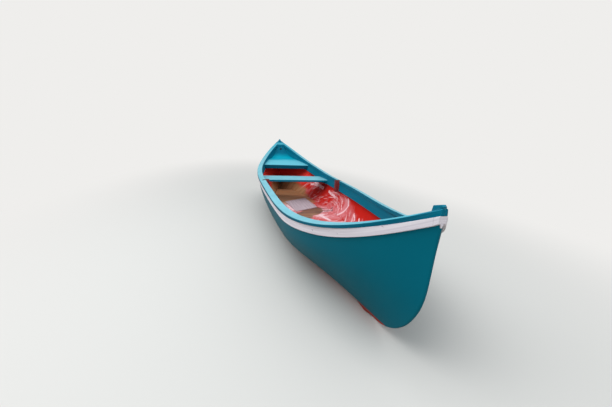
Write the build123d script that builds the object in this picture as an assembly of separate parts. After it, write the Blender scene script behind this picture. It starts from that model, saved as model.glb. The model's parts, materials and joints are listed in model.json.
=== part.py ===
# Open double-ended rowing boat with a moulded hull, as it lies pulled up on land.
# Frame: +X to the bow, +Y to port, +Z up. Origin on the ground below the middle of the boat.
# Both ends are alike, but only the bow has a painter pipe, and the thwart stands nearer the bow.
import os
from math import asin, atan2, cos, degrees, hypot, radians, sin, sqrt, tan

from build123d import *

# Driving sizes, mm
overall_length = 4980.0
overall_beam = 1136.0
hull_depth = 555.0            # middle of the sheer down to the flat of the bottom
keel_depth = 25.0             # keel strip below the flat of the bottom
shell_thickness = 8.0
stem_nose_radius = 12.0       # rounding of both stems, seen from above

sheer_rise = 400.0            # the sheer is this much higher at the stems than amidships

# Stems, seen from the side
forefoot_setback = 38.0       # foremost point of the forefoot's arc, behind the gunwale's tip
forefoot_centre_rise = 20.0   # the forefoot's centre above the middle of the sheer
stem_rake = 0.1               # lean of the stem above the forefoot, run over rise

# Gunwale, the capping rail on top of the sides, with what it covers
gunwale_width = 69.0
gunwale_edge = 21.0           # height of its outer side
gunwale_camber = 17.0         # the top falls this much from its inner to its outer edge
gunwale_tip_width = 36.0      # both gunwales together, at their tips
gunwale_end_width = 55.0      # one gunwale, square across, near its tips
gunwale_end_deepening = 14.0  # the outer side is this much higher at the tips
gunwale_rounding = 5.0        # of both upper edges
gunwale_overhang = 3.0        # gunwale past the face of the strake
strake_height = 62.0
strake_end_height = 42.0      # at the stems
strake_thickness = 14.0
strake_cap_length = 25.0      # the cap round the stem, back from the gunwale's tip
strake_cap_flat = 2.0         # its flat front, to the gunwale's tip
strake_cap_drop = 17.0        # the cap reaches this much lower
clamp_depth = 142.0           # top of the gunwale to the lower edge of the clamp
clamp_thickness = 30.0
clamp_end_gap = 200.0         # clamp's ends to the gunwale's tips

# Thwart and its cleats
thwart_aft_x = 905.0
thwart_width = 352.0
thwart_thickness = 31.0
thwart_drop = 82.0            # its top, below the middle of the sheer
thwart_rounding = 6.0
cleat_width = 28.0
cleat_height = 26.0
cleat_end_gap = 12.0          # cleats end this much inside the thwart's edges

# Rowlocks
rowlock_behind_thwart = 455.0
chock_length = 60.0
chock_thickness = 45.0        # past the gunwale's inner edge
chock_below = 12.0            # chock below the clamp
socket_bore = 14.0
socket_wall = 4.0
socket_depth = 70.0
socket_inboard = 22.0         # socket's axis from the gunwale's inner edge
flange_length = 34.0
flange_lap = 40.0             # flange out over the gunwale
flange_inner_gap = 5.0        # flange to the inner face of the chock
flange_thickness = 4.0

# End decks, the moulded triangular benches in both ends
deck_length = 820.0           # front edge to the gunwale's tip
deck_rise = 32.0              # front edge above the middle of the sheer
deck_thickness = 8.0
deck_fascia = 62.0
deck_nosing = 14.0            # rounding of the front edge
deck_flat_length = 430.0
deck_flat_slope = 8.0         # degrees, up towards the stem
deck_back_gap = 120.0         # where the moulding would stand upright, to the gunwale's tip

# Painter pipe through the bow
painter_bore = 16.0
painter_wall = 4.0
painter_rise = 240.0          # above the middle of the sheer
painter_proud_inside = 21.0   # pipe past the face of the end deck
painter_proud_outside = 6.0   # pipe past the stem

# Stem heads, the blocks on top of both ends
head_width = 24.0
head_foot = -70.0             # from the sheer's end, inside the joint of the gunwales
# Columns: from the gunwale's tip along X, from the sheer's end in height
head_profile = ((-91.0, -46.0), (-82.0, -18.0), (-14.0, 1.0), (-3.0, -8.0))
head_rounding = 4.0

# Breasthooks, the small plates laid on the gunwales in both ends
hook_length = 120.0           # front edge to the gunwale's tip
hook_thickness = 22.0
hook_drop = 4.0               # its top below the gunwale's inner edge

# Bottom
keel_width = 42.0
keel_end_gap = 100.0          # keel strip to the end of the bottom's flat
keel_end_slope = 4.0          # run over rise of the keel strip's ends
runner_width = 30.0
runner_offset = 125.0
runner_half_length = 700.0
runner_end_slope = 1.0
bearer_height = 130.0
bearer_width = 45.0
bearer_count = 7              # evenly spaced
bearer_end_gap = 180.0        # outermost bearers to the ends of the keel strip
sole_thickness = 12.0
sole_side_gap = 14.0          # sole panels to the shell
sole_gap = 6.0                # between sole panels
sole_panels = (
    # name, number of its aft bearer, of its fore bearer, overhang aft, overhang fore
    ("sole_aft", 1, 3, 150.0, 0.0),
    ("sole_middle", 3, 5, 0.0, 0.0),
    ("sole_fore", 5, 7, 0.0, 200.0),
)
board_length = 550.0
board_width = 360.0
board_thickness = 9.0
board_skew = 27.0             # degrees that its ends lean
board_place = (714.0, -51.0)
board_turn = 5.0              # degrees, from the boat's length
loose_gap = 0.3               # under what only lies there

# Lines of the hull. Both tables list arcs from amidships to the tip, each tangent to the next.
# Columns: where the arc ends, as a share of the half length, and how steep it is there, in degrees.
# All angles of a table are scaled by one number, so that the line ends where the sizes say.
plan_lines = ((0.40, 2.65), (0.72, 17.5), (1.0, 38.5))
sheer_lines = ((0.32, 0.0), (0.66, 10.8), (1.0, 30.4))
# Waterlines. Columns: height as a share of the hull's depth, below the middle of the sheer, or of
# the sheer's rise, above it; how much narrower than the top of the sides; how lean the shoulder
# is, as its angle over the angle at the stem; and its start and end, as shares of the half length
waterline_table = (
    (-1.0, 393.0, 0.93, 0.10, 0.25),
    (-0.955, 306.0, 0.92, 0.14, 0.31),
    (-0.865, 211.0, 0.91, 0.20, 0.40),
    (-0.72, 122.0, 0.90, 0.27, 0.50),
    (-0.505, 52.0, 0.86, 0.35, 0.61),
    (-0.216, 13.0, 0.72, 0.41, 0.70),
    (0.125, 4.0, 0.54, 0.42, 0.73),
    (0.5, 2.0, 0.44, 0.42, 0.73),
    (0.775, 1.0, 0.40, 0.42, 0.73),
    (1.05, 0.0, 0.37, 0.42, 0.73),
)
lowest_of_sides = 3           # rows of that table: where the sides start above the bilge
highest_at_sole = 5
middle_slope = 2.65           # degrees at the start of the shoulder
smallest_nose = 4.0           # rounding of the insides' pointed ends

# Worked out
half_length = overall_length / 2
half_beam = overall_beam / 2
middle_sheer = keel_depth + hull_depth
end_sheer = middle_sheer + sheer_rise
under_gunwale = gunwale_camber + gunwale_edge
side_half_breadth = half_beam - gunwale_overhang - strake_thickness
forefoot_radius = hull_depth + forefoot_centre_rise
forefoot_centre_x = half_length - forefoot_setback - forefoot_radius
keel_half_length = forefoot_centre_x - keel_end_gap
strake_end_x = half_length - strake_cap_length
clamp_end_x = half_length - clamp_end_gap
clamp_inset = shell_thickness + clamp_thickness
rowlock_x = thwart_aft_x - rowlock_behind_thwart
sole_top = keel_depth + shell_thickness + bearer_height + sole_thickness
beyond = 60.0                 # how far cutting shapes run past what they cut
strip_reach = keel_depth + 40.0   # bottom strips before the hull is cut out of them
far_y = half_beam + beyond
tall = (0.0, end_sheer + beyond)
os.makedirs("parts", exist_ok=True)


def chain_drop(x, arcs):
    """Sideways run at x of a chain of tangent arcs that starts level at x = 0."""
    start, slope, drop = 0.0, 0.0, 0.0
    for end, angle in arcs:
        last = end == arcs[-1][0]
        end_slope = sin(radians(angle))
        reach = abs(x) if last else min(abs(x), end)
        if end_slope == slope:
            drop += (reach - start) * tan(asin(slope))
        else:
            radius = (end - start) / (end_slope - slope)
            here = slope + (reach - start) / radius
            drop += radius * (sqrt(1 - slope**2) - sqrt(1 - here**2))
        if last or abs(x) <= end:
            return drop
        start, slope = end, end_slope


def chain_angle(x, arcs):
    """Slope of the chain at x, in radians, positive away from amidships."""
    step = 0.5
    out = chain_drop(abs(x) + step, arcs)
    back = chain_drop(max(abs(x) - step, 0.0), arcs)
    return atan2(out - back, step + min(abs(x), step))


def fitted_arcs(lines, drop):
    """Arcs of a table, with the angles scaled so that the chain's whole run is drop."""
    low, high = 0.1, 2.0
    for _ in range(50):
        scale = (low + high) / 2
        arcs = [(share * half_length, scale * angle) for share, angle in lines]
        low, high = (scale, high) if chain_drop(half_length, arcs) < drop else (low, scale)
    return arcs


plan_arcs = fitted_arcs(plan_lines, half_beam - gunwale_tip_width / 2)
sheer_arcs = fitted_arcs(sheer_lines, sheer_rise)
waterlines = []
for share, narrower, lean, shoulder_start, shoulder_end in waterline_table:
    height = share * (hull_depth if share < 0 else sheer_rise)
    shoulder = (lean, shoulder_start, shoulder_end)
    waterlines.append((height, side_half_breadth - narrower, shoulder))


def sheer_height(x):
    return middle_sheer + chain_drop(x, sheer_arcs)


def end_share(x):
    """0 amidships and as far as the last arc of the sheer, then growing to 1 at the tips."""
    start = sheer_arcs[-2][0]
    return max(0.0, (abs(x) - start) / (half_length - start))


def rail_half_breadth(x):
    return half_beam - chain_drop(x, plan_arcs)


def rail_point(x, inward):
    """Point of the gunwale's plan, square inward from the outer edge's point at x."""
    angle = chain_angle(x, plan_arcs)
    toward_end = 1 if x > 0 else -1
    return (x - toward_end * inward * sin(angle), rail_half_breadth(x) - inward * cos(angle))


def stem_reach(height):
    """Half length of the hull at a height above the middle of the sheer."""
    up = height - forefoot_centre_rise
    if up > 0:
        return forefoot_centre_x + forefoot_radius + stem_rake * up
    return forefoot_centre_x + sqrt(max(forefoot_radius**2 - up**2, 0.0))


def waterline_arcs(height, half_breadth, shoulder):
    """The three arcs of one quarter of a waterline, as (centre x, centre y, radius, end angle)."""
    lean, shoulder_start, shoulder_end = shoulder
    reach = stem_reach(height)
    first, second = shoulder_start * reach, shoulder_end * reach
    nose = stem_nose_radius
    low, high = radians(middle_slope), radians(60.0)
    for _ in range(50):
        end_angle = (low + high) / 2
        mid_angle = lean * end_angle
        third = reach - nose + nose * sin(end_angle)
        width = first * tan(radians(middle_slope) / 2)
        width += (second - first) * tan((radians(middle_slope) + mid_angle) / 2)
        width += (third - second) * tan((mid_angle + end_angle) / 2) + nose * cos(end_angle)
        low, high = (end_angle, high) if width < half_breadth else (low, end_angle)
    arcs = []
    start_x, start_y, start_angle = 0.0, half_breadth, 0.0
    for end_x, angle in ((first, radians(middle_slope)), (second, mid_angle), (third, end_angle)):
        radius = (end_x - start_x) / (sin(angle) - sin(start_angle))
        centre = (start_x - radius * sin(start_angle), start_y - radius * cos(start_angle))
        arcs.append((centre[0], centre[1], radius, angle))
        start_x, start_y, start_angle = end_x, centre[1] + radius * cos(angle), angle
    return arcs


def waterline_wire(index, inset):
    """Closed waterline, moved square inward from the hull's outer surface by inset."""
    height, half_breadth, shoulder = waterlines[index]
    under = waterlines[max(index - 1, 0)]
    over = waterlines[min(index + 1, len(waterlines) - 1)]
    rise, spread = over[0] - under[0], over[1] - under[1]
    side_inset = inset * rise / hypot(rise, spread)
    z = middle_sheer + height + inset * spread / hypot(rise, spread)
    arcs = waterline_arcs(height, half_breadth, shoulder)
    end_x, end_y, end_radius, _ = arcs[2]
    nose = max(stem_nose_radius - side_inset, smallest_nose)
    arm = end_radius - side_inset - nose
    nose_x = end_x + sqrt(arm**2 - end_y**2)
    angles = [0.0, arcs[0][3], arcs[1][3], asin((nose_x - end_x) / arm)]

    def at(arc, angle):
        radius = arc[2] - side_inset
        return (arc[0] + radius * sin(angle), arc[1] + radius * cos(angle))

    def edge(start, middle, end, turn_x, turn_y):
        points = [Vector(turn_x * x, turn_y * y, z) for x, y in (start, middle, end)]
        return Edge.make_three_point_arc(*points)

    joints = [at(arcs[i], angles[i + 1]) for i in range(3)]
    middles = [at(arcs[i], (angles[i] + angles[i + 1]) / 2) for i in range(3)]
    crown, tip = at(arcs[0], 0.0), (nose_x + nose, 0.0)
    edges = []
    for turn in (1, -1):
        # from the nose behind over the side to the nose ahead, then round that nose
        edges.append(edge(joints[2], middles[2], joints[1], -turn, turn))
        edges.append(edge(joints[1], middles[1], joints[0], -turn, turn))
        edges.append(edge((-joints[0][0], joints[0][1]), crown, joints[0], turn, turn))
        edges.append(edge(joints[0], middles[1], joints[1], turn, turn))
        edges.append(edge(joints[1], middles[2], joints[2], turn, turn))
        mirrored = (joints[2][0], -joints[2][1])
        edges.append(edge(joints[2], tip, mirrored, turn, turn))
    return Wire(edges)


def hull_solid(inset, lowest=0, highest=len(waterlines) - 1):
    """The hull's outer form as a solid, made smaller all round by inset."""
    wires = [waterline_wire(index, inset) for index in range(lowest, highest + 1)]
    return Solid.make_loft(wires)


def sheer_slab(low, high):
    """Everything between two levels across the whole boat, each (amidships, at the stems)."""
    reach = half_length + beyond
    ends = [end for end, _ in sheer_arcs[:-1]] + [reach]
    stations = [-x for x in reversed(ends)] + ends

    def point(x, level):
        amidships, at_stems = level
        shift = amidships + (at_stems - amidships) * end_share(x)**2
        return Vector(x, 0, sheer_height(x) + shift)

    def curve(level):
        edges = []
        for aft, fore in zip(stations, stations[1:]):
            points = [point(x, level) for x in (aft, (aft + fore) / 2, fore)]
            if abs(points[0].Z + points[2].Z - 2 * points[1].Z) < 1e-6:
                edges.append(Edge.make_line(points[0], points[2]))
            else:
                edges.append(Edge.make_three_point_arc(*points))
        return edges

    lower, upper = curve(low), curve(high)
    sides = [Edge.make_line(lower[i] @ at, upper[i] @ at) for i, at in ((0, 0), (-1, 1))]
    face = Face(Wire(lower + upper + sides)).moved(Location((0, -far_y, 0)))
    return Solid.extrude(face, Vector(0, 2 * far_y, 0))


def block(x, y, z):
    """Box between two limits on each axis."""
    box = Solid.make_box(x[1] - x[0], y[1] - y[0], z[1] - z[0])
    return box.moved(Location((x[0], y[0], z[0])))


def largest(shape):
    return max(shape.solids(), key=lambda solid: solid.volume)


def prism(outline, low, high):
    """Straight-sided solid over an outline in the XZ plane, between two limits on Y."""
    face = Face(Wire.make_polygon([Vector(x, low, z) for x, z in outline]))
    return Solid.extrude(face, Vector(0, high - low, 0))


def mirrored_end(shape, end):
    """Shapes are drawn for the bow, end = 1, and mirrored for the stern, end = -1."""
    return shape if end > 0 else shape.mirror(Plane.YZ)


pieces = {}
outer_form = hull_solid(0.0)
inner_form = hull_solid(shell_thickness)
end_under_gunwale = under_gunwale + gunwale_end_deepening
gunwale_foot = (-under_gunwale, -end_under_gunwale)
strake_foot = (-under_gunwale - strake_height, -end_under_gunwale - strake_end_height)
cap_foot = (strake_foot[0] - strake_cap_drop, strake_foot[1] - strake_cap_drop)
clamp_foot = (-clamp_depth, -clamp_depth)
below_all = (-2 * middle_sheer, -2 * middle_sheer)
above_all = (2 * beyond, 2 * beyond)
below_gunwale = sheer_slab(below_all, gunwale_foot)

# Hull shell
pieces["hull_shell"] = largest(largest(outer_form - inner_form) & below_gunwale)

# Clamps, the deep boards inside the top of both sides, and rub strakes outside
clamp_form = hull_solid(clamp_inset, lowest_of_sides)
strake_form = hull_solid(-strake_thickness, lowest_of_sides)
clamp_ring = (inner_form & sheer_slab(clamp_foot, gunwale_foot)) - clamp_form
strake_ring = (strake_form & sheer_slab(strake_foot, gunwale_foot)) - outer_form
cap_ring = (strake_form & sheer_slab(cap_foot, gunwale_foot)) - outer_form
for side, word in ((1, "port"), (-1, "starboard")):
    half = (0.0, far_y) if side > 0 else (-far_y, 0.0)
    pieces["clamp_" + word] = largest(clamp_ring & block((-clamp_end_x, clamp_end_x), half, tall))
    strake_zone = block((-strake_end_x, strake_end_x), half, tall)
    pieces["rub_strake_" + word] = largest(strake_ring & strake_zone)
for end, word in ((1, "bow"), (-1, "stern")):
    reach = sorted((end * strake_end_x, end * (half_length - strake_cap_flat)))
    pieces["strake_cap_" + word] = largest(cap_ring & block(reach, (-far_y, far_y), tall))


def rounded_corner(corner, before, after, radius):
    """Start, middle and end of the arc that rounds a corner between two neighbouring points."""
    back, ahead = (before - corner).normalized(), (after - corner).normalized()
    half_angle = radians(back.get_angle(ahead)) / 2
    run = radius / tan(half_angle)
    middle = (back + ahead).normalized() * (radius / sin(half_angle) - radius)
    return corner + back * run, corner + middle, corner + ahead * run


def gunwale_blank(side):
    """Gunwale of one side, cambered on top, too deep below and too long at both ends."""
    half_stations = [share * half_length for share in (0.12, 0.36, 0.56, 0.72, 0.84, 0.94)]
    half_stations.append(half_length + beyond)
    stations = [-x for x in reversed(half_stations)] + half_stations
    wires = []
    for x in stations:
        width = gunwale_width + (gunwale_end_width - gunwale_width) * end_share(x)**2
        outer, inner = rail_point(x, 0.0), rail_point(x, width)
        outer_top = sheer_height(outer[0]) - gunwale_camber
        inner_top = sheer_height(inner[0])
        corners = (
            (outer, outer_top),
            (inner, inner_top),
            (inner, inner_top - under_gunwale - beyond),
            (outer, outer_top - gunwale_edge - beyond),
        )
        outside, inside, inside_foot, outside_foot = [Vector(px, side * py, z) for (px, py), z in corners]
        outer_arc = rounded_corner(outside, outside_foot, inside, gunwale_rounding)
        inner_arc = rounded_corner(inside, outside, inside_foot, gunwale_rounding)
        wires.append(Wire([
            Edge.make_three_point_arc(*outer_arc),
            Edge.make_line(outer_arc[2], inner_arc[0]),
            Edge.make_three_point_arc(*inner_arc),
            Edge.make_line(inner_arc[2], inside_foot),
            Edge.make_line(inside_foot, outside_foot),
            Edge.make_line(outside_foot, outer_arc[0]),
        ]))
    return Solid.make_loft(wires)


# Gunwales, mitred at the centre over both stems
above_strake = sheer_slab(gunwale_foot, above_all)
gunwales = {}
for side, word in ((1, "port"), (-1, "starboard")):
    half = (0.0, far_y) if side > 0 else (-far_y, 0.0)
    blank = gunwale_blank(side) & above_strake
    gunwales[side] = largest(blank & block((-half_length, half_length), half, tall))

# Breasthooks and stem heads
for end, word in ((1, "bow"), (-1, "stern")):
    hook_under = -hook_drop - hook_thickness
    hook = sheer_slab((hook_under, hook_under), (-hook_drop, -hook_drop))
    reach = sorted((end * (half_length - hook_length), end * half_length))
    hook = hook & block(reach, (-half_beam / 2, half_beam / 2), tall)
    hook = hook & (outer_form - gunwales[1]) - gunwales[-1]
    hook = largest(hook)
    pieces["breasthook_" + word] = hook
    profile = [(head_profile[0][0], head_foot)] + list(head_profile) + [(head_profile[-1][0], head_foot)]
    outline = [(half_length + x, end_sheer + z) for x, z in profile]
    head = prism(outline, -head_width / 2, head_width / 2)
    upper_edges = [edge for edge in head.edges() if edge.center().Z > end_sheer + head_foot + 1]
    head = mirrored_end(largest(head.fillet(head_rounding, upper_edges)), end)
    pieces["stem_head_" + word] = largest(head - gunwales[1] - gunwales[-1] - hook)

# Thwart and the cleats that it rests on
thwart_top = middle_sheer - thwart_drop
thwart_reach = (thwart_aft_x, thwart_aft_x + thwart_width)
plank = block(thwart_reach, (-far_y, far_y), (thwart_top - thwart_thickness, thwart_top))
plank = plank.fillet(thwart_rounding, plank.edges().filter_by(Axis.Y))
pieces["thwart"] = largest(plank & clamp_form)
cleat_top = thwart_top - thwart_thickness
cleat_middle_x = thwart_aft_x + thwart_width / 2
cleat_turn = degrees(chain_angle(cleat_middle_x, plan_arcs))
clamp_face_y = rail_point(cleat_middle_x, gunwale_width)[1]
for side, word in ((1, "port"), (-1, "starboard")):
    half_cleat = thwart_width / 2 - cleat_end_gap
    blank = block((-half_cleat, half_cleat), (-cleat_width, beyond), (cleat_top - cleat_height, cleat_top))
    blank = blank.moved(Location((cleat_middle_x, clamp_face_y, 0), (0, 0, -cleat_turn)))
    blank = blank if side > 0 else blank.mirror(Plane.XZ)
    pieces["thwart_cleat_" + word] = largest(blank & clamp_form)

# Rowlock chocks inside the clamps, and the sockets in them, each with a flange over the gunwale
rowlock_sheer = sheer_height(rowlock_x)
rail_inner_y = rail_half_breadth(rowlock_x) - gunwale_width
chock_face_y = rail_inner_y - chock_thickness
socket_y = rail_inner_y - socket_inboard
socket_top = rowlock_sheer + flange_thickness
for side, word in ((1, "port"), (-1, "starboard")):
    gunwale = gunwales[side]
    chock_x = (rowlock_x - chock_length / 2, rowlock_x + chock_length / 2)
    chock_y = sorted((side * chock_face_y, side * half_beam))
    chock_z = (rowlock_sheer - clamp_depth - chock_below, rowlock_sheer)
    chock = largest((block(chock_x, chock_y, chock_z) & clamp_form) - gunwale)
    flange_x = (rowlock_x - flange_length / 2, rowlock_x + flange_length / 2)
    inner_y = sorted((side * (chock_face_y + flange_inner_gap), side * half_beam))
    outer_y = sorted((side * rail_inner_y, side * (rail_inner_y + flange_lap)))
    on_chock = block(flange_x, inner_y, (rowlock_sheer, socket_top)) & clamp_form
    raised = gunwale.moved(Location((0, 0, flange_thickness)))
    on_gunwale = raised & block(flange_x, outer_y, (rowlock_sheer - under_gunwale, socket_top))
    flange = largest((on_chock + on_gunwale) - gunwale - chock)
    socket_foot = Plane((rowlock_x, side * socket_y, socket_top - socket_depth))
    tube = Solid.make_cylinder(socket_bore / 2 + socket_wall, socket_depth, socket_foot)
    bore = Solid.make_cylinder(socket_bore / 2, socket_depth, socket_foot)
    pieces["rowlock_chock_" + word] = largest(chock - tube)
    pieces["rowlock_socket_" + word] = largest((flange + tube) - bore)
    pieces["gunwale_" + word] = gunwale


# End decks' section along the middle of the boat: a flat, then an arc up behind the stem
deck_slope = radians(deck_flat_slope)
deck_front = Vector(half_length - deck_length, 0, middle_sheer + deck_rise)
deck_bend = deck_front + Vector(deck_flat_length, 0, deck_flat_length * tan(deck_slope))
deck_radius = (half_length - deck_back_gap - deck_bend.X) / (1 - sin(deck_slope))
deck_centre = deck_bend + Vector(-sin(deck_slope), 0, cos(deck_slope)) * deck_radius


def end_deck(end):
    """Moulded bench: fascia, flat top and the hollow curve up behind the stem."""

    def side(shift):
        # foot of the fascia, front edge, bend, middle and end of the arc, on the face or shift inside
        below = Vector(0, 0, shift * tan(deck_slope) - shift / cos(deck_slope))
        front = deck_front + Vector(shift, 0, 0) + below
        down = Vector(sin(deck_slope), 0, -cos(deck_slope))
        angle = (deck_slope + radians(90.0)) / 2
        middle = deck_centre + Vector(sin(angle), 0, -cos(angle)) * (deck_radius + shift)
        fore = deck_centre + Vector(deck_radius + shift, 0, 0)
        foot = Vector(front.X, 0, deck_front.Z - deck_fascia)
        return foot, front, deck_bend + down * shift, middle, fore

    foot, front, bend, middle, fore = side(0.0)
    foot_in, front_in, bend_in, middle_in, fore_in = side(deck_thickness)
    wire = Wire([
        Edge.make_line(foot, front),
        Edge.make_line(front, bend),
        Edge.make_three_point_arc(bend, middle, fore),
        Edge.make_line(fore, fore_in),
        Edge.make_three_point_arc(fore_in, middle_in, bend_in),
        Edge.make_line(bend_in, front_in),
        Edge.make_line(front_in, foot_in),
        Edge.make_line(foot_in, foot),
    ])
    face = Face(wire).moved(Location((0, -half_beam, 0)))
    deck = Solid.extrude(face, Vector(0, overall_beam, 0))
    for corner, radius in ((front, deck_nosing), (front_in, deck_nosing - deck_thickness)):
        across = deck.edges().filter_by(Axis.Y)
        deck = deck.fillet(radius, [min(across, key=lambda edge: (edge.center() - corner).length)])
    return mirrored_end(deck, end)


# End decks, bonded to the shell and to the clamps
for end, word in ((1, "bow"), (-1, "stern")):
    deck = end_deck(end) & inner_form & below_gunwale
    for part in ("clamp_port", "clamp_starboard", "breasthook_" + word):
        deck = deck - pieces[part]
    pieces["end_deck_" + word] = largest(deck)

# Painter pipe, from inside the bow out through the stem
pipe_height = middle_sheer + painter_rise
deck_face_x = deck_centre.X + sqrt(deck_radius**2 - (deck_centre.Z - pipe_height)**2)
pipe_start_x = deck_face_x - painter_proud_inside
pipe_length = stem_reach(painter_rise) + painter_proud_outside - pipe_start_x
pipe_plane = Plane((pipe_start_x, 0, pipe_height), x_dir=(0, 1, 0), z_dir=(1, 0, 0))
pipe = Solid.make_cylinder(painter_bore / 2 + painter_wall, pipe_length, pipe_plane)
pipe_bore = Solid.make_cylinder(painter_bore / 2, pipe_length, pipe_plane)
pipe_way = Solid.make_cylinder(painter_bore / 2 + painter_wall, pipe_length + beyond, pipe_plane)
for name in ("hull_shell", "end_deck_bow"):
    pieces[name] = largest(pieces[name] - pipe_way)
pieces["painter_pipe"] = largest(pipe - pipe_bore)

# Keel strip and bilge runners under the flat of the bottom


def bottom_strip(half_foot, end_slope, middle_y, width):
    """Strip from the ground up to the hull, with ends that lean outwards."""
    half_top = half_foot + strip_reach * end_slope
    outline = (
        (-half_foot, 0.0),
        (half_foot, 0.0),
        (half_top, strip_reach),
        (-half_top, strip_reach),
    )
    return largest(prism(outline, middle_y - width / 2, middle_y + width / 2) - outer_form)


pieces["keel_strip"] = bottom_strip(keel_half_length, keel_end_slope, 0.0, keel_width)
for side, word in ((1, "port"), (-1, "starboard")):
    runner_foot = runner_half_length - keel_depth * runner_end_slope
    runner = bottom_strip(runner_foot, runner_end_slope, side * runner_offset, runner_width)
    pieces["runner_" + word] = runner

# Floor bearers across the bottom, and the sole panels on them
bearer_foot = keel_depth + shell_thickness / 2
bearer_top = sole_top - sole_thickness
last_bearer_x = keel_half_length - bearer_end_gap
bearer_spacing = 2 * last_bearer_x / (bearer_count - 1)
bearer_places = [index * bearer_spacing - last_bearer_x for index in range(bearer_count)]
for number, place in enumerate(bearer_places, 1):
    reach = (place - bearer_width / 2, place + bearer_width / 2)
    bearer = block(reach, (-far_y, far_y), (bearer_foot, bearer_top)) & inner_form
    pieces["floor_bearer_%d" % number] = largest(bearer)
sole_form = hull_solid(shell_thickness + sole_side_gap, 0, highest_at_sole)
for name, first, last, overhang_aft, overhang_fore in sole_panels:
    aft = bearer_places[first - 1] - overhang_aft
    fore = bearer_places[last - 1] + overhang_fore
    reach = (aft + sole_gap / 2, fore - sole_gap / 2)
    pieces[name] = largest(block(reach, (-far_y, far_y), (bearer_top, sole_top)) & sole_form)

# Loose pale board that lies on the sole
lean = board_width / 2 * tan(radians(board_skew))
corners = (
    (-board_length / 2 + lean, -board_width / 2),
    (board_length / 2 + lean, -board_width / 2),
    (board_length / 2 - lean, board_width / 2),
    (-board_length / 2 - lean, board_width / 2),
)
board_face = Face(Wire.make_polygon([Vector(x, y, 0) for x, y in corners]))
board = Solid.extrude(board_face, Vector(0, 0, board_thickness))
board_seat = Location((board_place[0], board_place[1], sole_top + loose_gap), (0, 0, board_turn))
pieces["loose_board"] = board.moved(board_seat)

for name, piece in pieces.items():
    piece.label = name
    export_step(piece, "parts/" + name + ".step")
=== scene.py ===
import json
from math import cos, radians, sin

import bmesh
import bpy
from mathutils import Matrix, Vector


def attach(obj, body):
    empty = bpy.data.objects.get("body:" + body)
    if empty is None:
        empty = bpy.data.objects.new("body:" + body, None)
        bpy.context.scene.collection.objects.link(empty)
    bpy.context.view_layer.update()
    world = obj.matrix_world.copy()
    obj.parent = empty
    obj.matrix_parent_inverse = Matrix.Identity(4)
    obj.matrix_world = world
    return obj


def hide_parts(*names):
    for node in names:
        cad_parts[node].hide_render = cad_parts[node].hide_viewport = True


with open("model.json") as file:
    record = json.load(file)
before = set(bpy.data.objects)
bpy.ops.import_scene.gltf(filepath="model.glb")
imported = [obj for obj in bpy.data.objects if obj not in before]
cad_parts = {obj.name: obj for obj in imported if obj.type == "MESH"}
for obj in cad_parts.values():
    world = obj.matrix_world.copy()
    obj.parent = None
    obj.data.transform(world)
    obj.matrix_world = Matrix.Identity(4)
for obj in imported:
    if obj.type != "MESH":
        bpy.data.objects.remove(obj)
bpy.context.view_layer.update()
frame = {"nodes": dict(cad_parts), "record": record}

nodes = frame["nodes"]
print("frame loaded:", len(nodes), "nodes")


def hexToLinear(colour):
    values = [int(colour[i:i + 2], 16) / 255 for i in (1, 3, 5)]
    return tuple(v / 12.92 if v <= 0.04045 else ((v + 0.055) / 1.055) ** 2.4 for v in values) + (1.0,)


def addNode(tree, kind, inputs=None, **settings):
    # one node with its settings; an input, by name or by number, takes a value, a colour or a link
    node = tree.nodes.new("ShaderNode" + kind)
    for name, value in settings.items():
        setattr(node, name, value)
    for key, value in (inputs or {}).items():
        free = [one for one in node.inputs if one.enabled]
        socket = free[key] if isinstance(key, int) else next(one for one in free if one.name == key)
        if isinstance(value, bpy.types.Node):
            value = next(one for one in value.outputs if one.enabled)
        if isinstance(value, bpy.types.NodeSocket):
            tree.links.new(value, socket)
        else:
            socket.default_value = hexToLinear(value) if isinstance(value, str) else value
    return node


def newMaterial(name):
    material = bpy.data.materials.new(name)
    material.use_nodes = True
    tree = material.node_tree
    tree.nodes.clear()
    return material, tree


def place(tree, along, across=None, upward=None):
    # the boat's own coordinates, counted in marks of a real size in mm along, across and up
    where = addNode(tree, "TexCoord").outputs["Object"]
    sizes = (along, across or along, upward or along)
    return addNode(tree, "Mapping", {"Vector": where, "Scale": tuple(1000 / size for size in sizes)})


def zone(tree, value, none, full, within=1.0):
    # 0 where the value is at none, 1 at full, softly between, and only within another zone
    share = addNode(tree, "MapRange", {"Value": value, "From Min": none, "From Max": full},
                    interpolation_type="SMOOTHSTEP")
    return addNode(tree, "Math", {0: share, 1: within}, operation="MULTIPLY")


def layer(tree, under, over, where, share=1.0):
    # a colour laid over another where a zone is, as thick as share
    cover = addNode(tree, "Math", {0: where, 1: share}, operation="MULTIPLY")
    return addNode(tree, "Mix", {"Factor": cover, "A": under, "B": over}, data_type="RGBA")


# The boat's lines, in metres: how far the sheer rises and narrows, each as a short sum of powers
# of X, and how high the sole's top lies
lines = {"rise": (0.0004, 0.0106), "drop": (0.0124, 0.0123), "soleTop": 0.175}


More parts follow.
